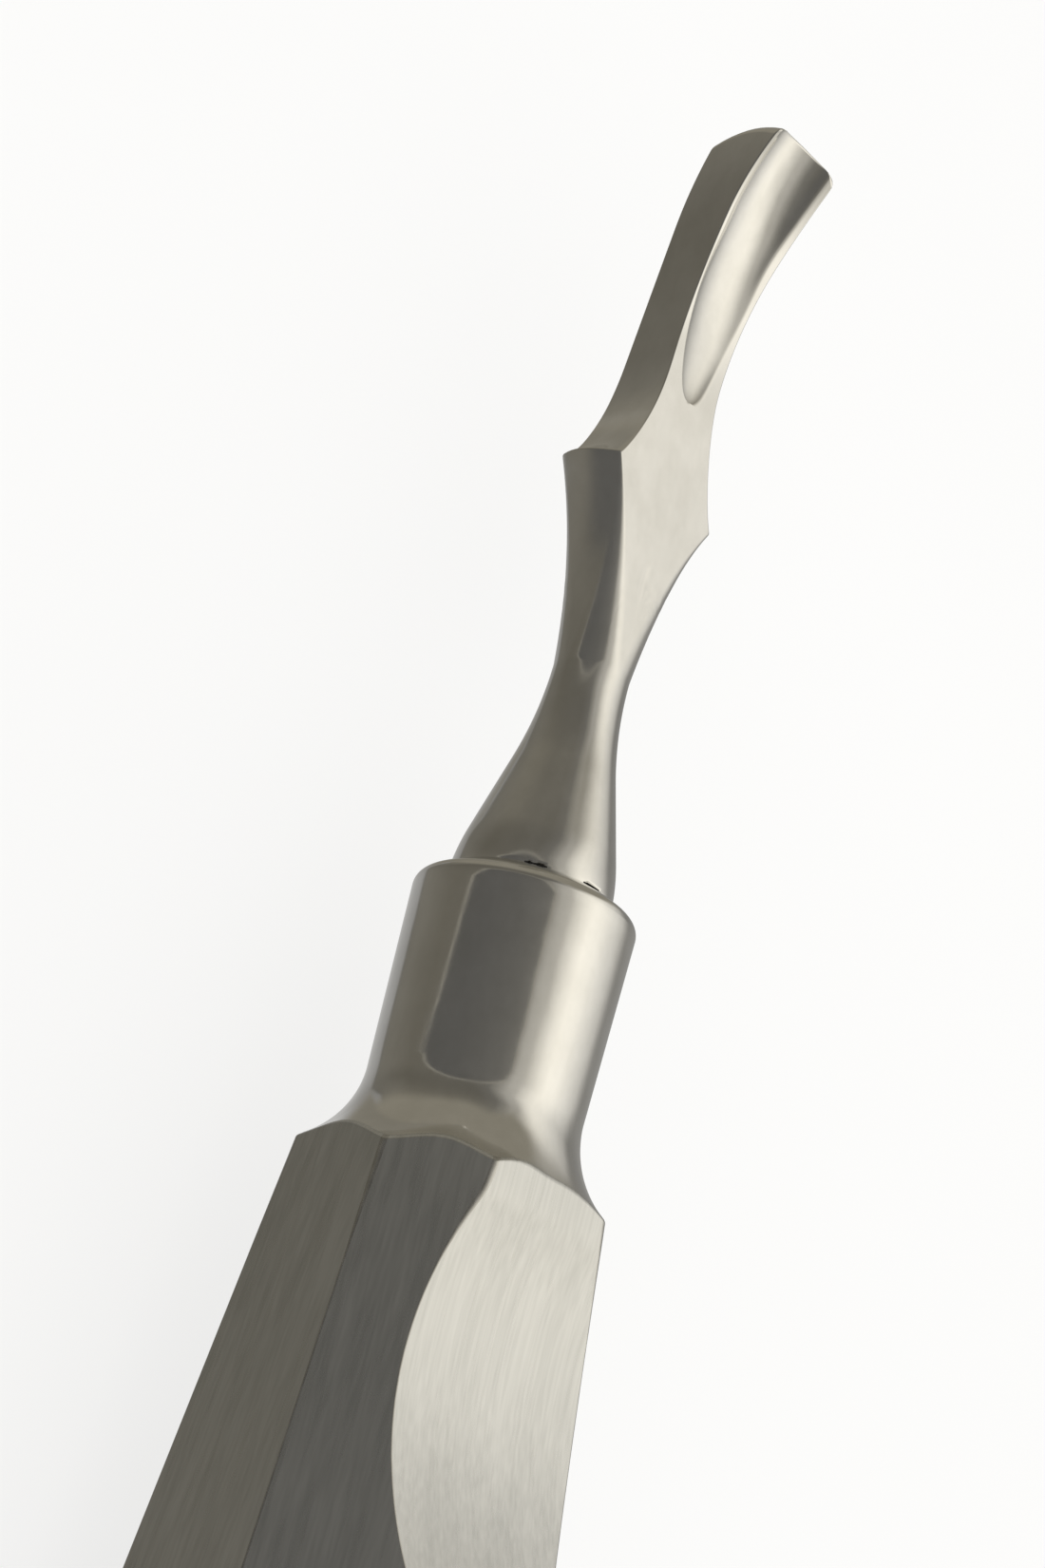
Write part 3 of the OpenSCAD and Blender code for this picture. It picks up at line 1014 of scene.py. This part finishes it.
@cache
def polished_steel():
    """Forged steel polished on felt wheels: nearly a mirror, with a faint haze and fine lines,
    and softer on the shank under the hip."""
    material, tree, shader = new_material("polished_steel")
    tint(tree, shader, noise(tree, (0.5, 0.7, 0.7), 4), (0.64, 0.63, 0.60), (0.71, 0.70, 0.675))
    haze = noise(tree, (1.6, 2.6, 2.6), 5)
    rough = ramp(tree, haze, [(0.3, grey(0.07)), (0.75, grey(0.14))])
    place = node(tree, "ShaderNodeTexCoord").outputs["Object"]
    spot = node(tree, "ShaderNodeSeparateXYZ", links=[("Vector", place)])
    from_rim = maths(tree, "SUBTRACT", spot.outputs["X"], RIM_X * MM)
    share = maths(tree, "DIVIDE", from_rim, REACH * MM)
    softer = ramp(tree, share, [(x / REACH, grey(extra)) for x, extra in SHANK_HAZE])
    tree.links.new(maths(tree, "ADD", rough, softer), shader.inputs["Roughness"])
    ripple = noise(tree, (0.35, 0.5, 0.5), 2)
    lines = noise(tree, (3.0, 30.0, 30.0), 2)
    bump(tree, shader, (ripple, 0.012), (lines, 0.0006))
    return material


@cache
def satin_steel():
    """Belt-ground facets: soft streaks along the handle, broad clouds and hair-fine brushing."""
    material, tree, shader = new_material("satin_steel")
    clouds = noise(tree, (0.14, 0.6, 0.6), 4)
    streaks = noise(tree, (0.09, 2.6, 2.6), 2, 0.5)
    fine = noise(tree, (0.12, 9.0, 9.0), 1, 0.4)
    total = maths(tree, "ADD", maths(tree, "ADD", clouds, streaks), fine)
    mean = maths(tree, "DIVIDE", total, 3.0)
    tint(tree, shader, mean, (0.50, 0.50, 0.482), (0.60, 0.598, 0.578), (0.38, 0.62))
    roughen(tree, shader, streaks, 0.25, 0.33)
    bump(tree, shader, (streaks, 0.0009), (fine, 0.00004))
    return material


def facet_edge_steel():
    """The narrow rounded edges between facets, in a slightly darker colour: painted shade for the
    thin dark line along each edge.
    """
    material, tree, shader = new_material("facet_edge_steel")
    tone = noise(tree, (1.5, 5.0, 5.0), 4)
    tint(tree, shader, tone, (0.40, 0.39, 0.365), (0.52, 0.51, 0.485))
    roughen(tree, shader, tone, 0.2, 0.3)
    return material


@cache
def shaded_drilled_steel():
    """Bore, socket and seam: dull steel with the drill's turned marks, in a dark colour that is
    painted shade for these recesses.
    """
    material, tree, shader = new_material("shaded_drilled_steel")
    marks = noise(tree, (9.0, 0.4, 0.4))
    tint(tree, shader, marks, (0.16, 0.15, 0.14), (0.30, 0.29, 0.27))
    shader.inputs["Roughness"].default_value = 0.5
    bump(tree, shader, (marks, 0.02))
    return material


def seam_shadow():
    """Painted shadow in the pits of the seam: a near-black matt colour standing in for their shade.
    """
    material, tree, shader = new_material("seam_shadow", 0.0)
    grit = noise(tree, (6.0, 6.0, 6.0))
    tint(tree, shader, grit, (0.006, 0.005, 0.004), (0.03, 0.027, 0.024))
    shader.inputs["Roughness"].default_value = 0.9
    return material


def braze_alloy():
    """Cast silver braze: pale warm metal with a pitted, flowed surface."""
    material, tree, shader = new_material("braze_alloy")
    flow = noise(tree, (2.0, 2.0, 2.0), 5)
    tint(tree, shader, flow, (0.70, 0.62, 0.44), (0.86, 0.80, 0.66))
    roughen(tree, shader, flow, 0.3, 0.5)
    bump(tree, shader, (flow, 0.05))
    return material


def pale_floor():
    """A matt white table that glows a little, so that it looks as bright as the photo's."""
    material, tree, shader = new_material("pale_floor", 0.0)
    clouds = noise(tree, (0.02, 0.02, 0.02), 2)
    tint(tree, shader, clouds, (0.20, 0.20, 0.198), (0.21, 0.21, 0.208))
    shader.inputs["Roughness"].default_value = 0.9
    shader.inputs["Emission Color"].default_value = (1.0, 0.998, 0.99, 1.0)
    shader.inputs["Emission Strength"].default_value = 0.76
    return material


# -------- studio

# Polished steel mirrors a room that is given by direction, in degrees. "Around" turns about
# the instrument: 0 is straight up, 90 is to its left. "Along" rises from the plane across the
# instrument to 90 at the nose's end.

# Light of the near room as (angle around, value, warmth), with its window from -90 to 10.
ROOM = (
    (-180, 0.42, 0.2), (-160, 0.50, 0.2), (-139, 0.62, 0.2), (-134, 0.33, 0.5),
    (-92, 0.31, 0.7), (-86, 0.40, 0.7), (-75, 0.72, 0.7), (-58, 1.04, 0.8),
    (-42, 1.30, 1.0), (-28, 1.36, 1.1), (-18, 1.17, 1.1), (-9, 0.88, 1.1),
    (-2, 0.62, 1.1), (8, 0.54, 1.1), (15, 0.39, 1.2), (26, 0.22, 1.2),
    (45, 0.18, 1.6), (120, 0.182, 1.9), (150, 0.222, 1.6), (165, 0.225, 1.5),
    (168, 0.19, 1.2), (171, 0.38, 0.3), (180, 0.42, 0.2),
)
# Turn of the near room about the instrument, by the angle along.
SLANT = ((-22, 32), (-10, 22), (0, 8), (8, 0), (14, 0), (28, -6), (33, 0), (40, 10), (60, 12))
# Share of the near room's light that is left, by the angle along.
GAIN = ((0, 1.0), (18, 1.0), (27, 0.87), (40, 0.84))

# The dark card: its light in the same way, its middle, its half sizes and its roundness.
CARD = (
    (-6, 0.33, 1.1), (4, 0.25, 1.1), (14, 0.215, 1.1), (26, 0.175, 1.0),
    (45, 0.148, 0.9), (75, 0.130, 0.7), (110, 0.128, 0.7),
)
CARD_AROUND = 59.0
CARD_HALF = 54.0
CARD_ALONG = -8.0
CARD_TALL = 35.0
CARD_SQUARENESS = 2.1
# Degrees by which the card is wider on the left, by the angle along.
CARD_WIDER = ((-14, 2), (-4, 8), (4, 15), (9, 15), (12, 0))
# The pale rim round the card, as a share of the card's size.
CARD_RIM = 0.05
CARD_RIM_LIGHT = 0.75
CARD_RIM_COLOUR = (0.40, 1.5)
# How crisp the card's border is, by the angle along, and how wide it is where it isn't.
CARD_CRISP = ((8.5, 0.0), (11, 1.0), (30, 1.0), (36, 0.0))
CARD_SOFT = 0.3
CARD_HARD = 0.004

# Towards the nose the room fades into one olive tone: share of that tone by the angle along,
# how much later the fade comes by the angle around, and the tone itself.
FAR = ((28, 0.0), (35, 0.08), (40, 0.22), (44, 0.5), (47, 0.78), (50, 0.95), (52, 1.0))
FAR_DELAY = (
    (-175, -14), (-140, -14), (-120, 0), (-8, 0), (16, 9), (75, 9), (105, 3),
    (130, 0), (168, 0), (176, -14),
)
FAR_COLOUR = (
    (-180, 0.27, 1.8), (-145, 0.27, 1.8), (-125, 0.31, 2.0), (165, 0.31, 2.0),
    (175, 0.27, 1.8),
)
# What all rays but the mirrored ones see.
EVEN_LIGHT = (1.0, 0.995, 0.985, 1.0)


def mixed(tree, share, a, b):
    """Colour a where the share is 0 and b where it is 1."""
    made = tree.nodes.new("ShaderNodeMix")
    made.data_type = "RGBA"
    tree.links.new(share, made.inputs["Factor"])
    for socket, value in ((made.inputs[6], a), (made.inputs[7], b)):
        if isinstance(value, tuple):
            socket.default_value = (*value, 1.0)
        else:
            tree.links.new(value, socket)
    return made.outputs[2]


def by_angle(tree, angle, low, high, stops):
    """Greys by an angle, from stops of (angle, value) or (angle, value, warmth)."""
    share = maths(tree, "DIVIDE", maths(tree, "SUBTRACT", angle, low), high - low)
    return ramp(tree, share, [((stop[0] - low) / (high - low), grey(*stop[1:])) for stop in stops])


def shift_by(tree, angle, low, high, stops, least=-30, span=90):
    """A shift in degrees by an angle. Ramps hold no negative values, so it counts from least."""
    shares = [(stop, (shift - least) / span) for stop, shift in stops]
    share = by_angle(tree, angle, low, high, shares)
    return maths(tree, "ADD", maths(tree, "MULTIPLY", share, span), least)


def seen_way(tree):
    """The two angles, around and along, of the direction in which a ray leaves."""
    place = node(tree, "ShaderNodeTexCoord").outputs["Generated"]
    way = node(tree, "ShaderNodeSeparateXYZ", links=[("Vector", place)])
    degrees = 180 / math.pi
    around = maths(tree, "ARCTAN2", way.outputs["Y"], way.outputs["Z"])
    along = maths(tree, "ARCSINE", way.outputs["X"])
    return maths(tree, "MULTIPLY", around, degrees), maths(tree, "MULTIPLY", along, degrees)


def card_reach(tree, around, along):
    """How far out a direction lies on the card, which is a superellipse: 1 on its border."""
    wider = shift_by(tree, along, -90, 90, CARD_WIDER, 0)
    narrowed = maths(tree, "MAXIMUM", maths(tree, "SUBTRACT", around, wider), CARD_AROUND)
    around = maths(tree, "MINIMUM", around, narrowed)
    total = 0.0
    for angle, middle, half in ((around, CARD_AROUND, CARD_HALF), (along, CARD_ALONG, CARD_TALL)):
        away = maths(tree, "ABSOLUTE", maths(tree, "SUBTRACT", angle, middle))
        share = maths(tree, "POWER", maths(tree, "DIVIDE", away, half), CARD_SQUARENESS)
        total = maths(tree, "ADD", total, share)
    return maths(tree, "POWER", total, 1 / CARD_SQUARENESS)


def near_room(tree, around, along):
    """The room with its window, slanted by the angle along, and the card in front of it."""
    turned = maths(tree, "ADD", around, shift_by(tree, along, -90, 90, SLANT))
    room = by_angle(tree, turned, -180, 180, ROOM)
    card = by_angle(tree, turned, -180, 180, CARD)
    reach = card_reach(tree, around, along)
    crisp = by_angle(tree, along, -90, 90, CARD_CRISP)
    blurred = maths(tree, "MULTIPLY", maths(tree, "SUBTRACT", 1.0, crisp), CARD_SOFT)
    width = maths(tree, "ADD", blurred, CARD_HARD)
    past = maths(tree, "DIVIDE", maths(tree, "SUBTRACT", reach, 1.0), width)
    room = mixed(tree, maths(tree, "ADD", past, 0.5), card, room)
    rim = maths(tree, "COMPARE", reach, 1 + CARD_RIM / 2, CARD_RIM / 2)
    rim = maths(tree, "MULTIPLY", maths(tree, "MULTIPLY", rim, crisp), CARD_RIM_LIGHT)
    room = mixed(tree, rim, room, grey(*CARD_RIM_COLOUR))
    gain = by_angle(tree, along, 0, 90, GAIN)
    return mixed(tree, gain, grey(0.0), room)


def mirrored_light(tree):
    """The near room, which fades into the far tone towards the nose."""
    around, along = seen_way(tree)
    late = shift_by(tree, around, -180, 180, FAR_DELAY)
    delayed = maths(tree, "SUBTRACT", along, late)
    far = by_angle(tree, delayed, 0, 90, FAR)
    far_tone = by_angle(tree, around, -180, 180, FAR_COLOUR)
    return mixed(tree, far, near_room(tree, around, along), far_tone)


def studio_light():
    """Mirroring surfaces see the room, and everything else gets even white light."""
    world = bpy.data.worlds.new("studio")
    bpy.context.scene.world = world
    world.use_nodes = True
    tree = world.node_tree
    tree.nodes.clear()
    mirrored = node(tree, "ShaderNodeBackground", links=[("Color", mirrored_light(tree))])
    even = node(tree, "ShaderNodeBackground", [("Color", EVEN_LIGHT)])
    glossy = node(tree, "ShaderNodeLightPath").outputs["Is Glossy Ray"]
    links = [(0, glossy), (1, even.outputs[0]), (2, mirrored.outputs[0])]
    blend = node(tree, "ShaderNodeMixShader", links=links)
    node(tree, "ShaderNodeOutputWorld", links=[("Surface", blend.outputs[0])])


def make_floor(half_side=1.5):
    mesh = bpy.data.meshes.new("floor")
    corners = [(x * half_side, y * half_side, 0) for x, y in ((-1, -1), (1, -1), (1, 1), (-1, 1))]
    mesh.from_pydata(corners, [], [(0, 1, 2, 3)])
    mesh.materials.append(pale_floor())
    floor = bpy.data.objects.new("floor", mesh)
    bpy.context.scene.collection.objects.link(floor)
    floor.visible_glossy = False


# The camera's place in the frame, in millimetres, and the frame's directions that it sees as
# right and up.
CAMERA_PLACE = (17.8, 49.41, 62.46)
CAMERA_RIGHT = (0.24312, -0.66500, 0.70617)
CAMERA_UP = (0.89708, 0.43106, 0.09708)
CAMERA_LENS = 50.97


def make_camera():
    """The photographer's view: close above the neck's left side, looking down the blade."""
    data = bpy.data.cameras.new("camera")
    data.lens = CAMERA_LENS
    data.clip_start = 0.002
    camera = bpy.data.objects.new("camera", data)
    bpy.context.scene.collection.objects.link(camera)
    right, up = Vector(CAMERA_RIGHT).normalized(), Vector(CAMERA_UP)
    back = right.cross(up).normalized()
    turn = Matrix((right, back.cross(right), back)).transposed().to_4x4()
    camera.matrix_world = Matrix.Translation(Vector(CAMERA_PLACE) * MM) @ turn
    bpy.context.scene.camera = camera


# -------- the scene

make_camera()
studio_light()
make_floor()
bpy.context.scene.view_settings.view_transform = "Standard"

blade = make_blade()
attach(blade, "root")
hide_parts("blade_and_shank")

handle = make_handle()
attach(handle, "root")
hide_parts("handle_body")

cap = make_butt_cap()
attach(cap, "root")
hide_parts("butt_cap")

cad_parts["braze_ring"].data.materials.clear()
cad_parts["braze_ring"].data.materials.append(braze_alloy())
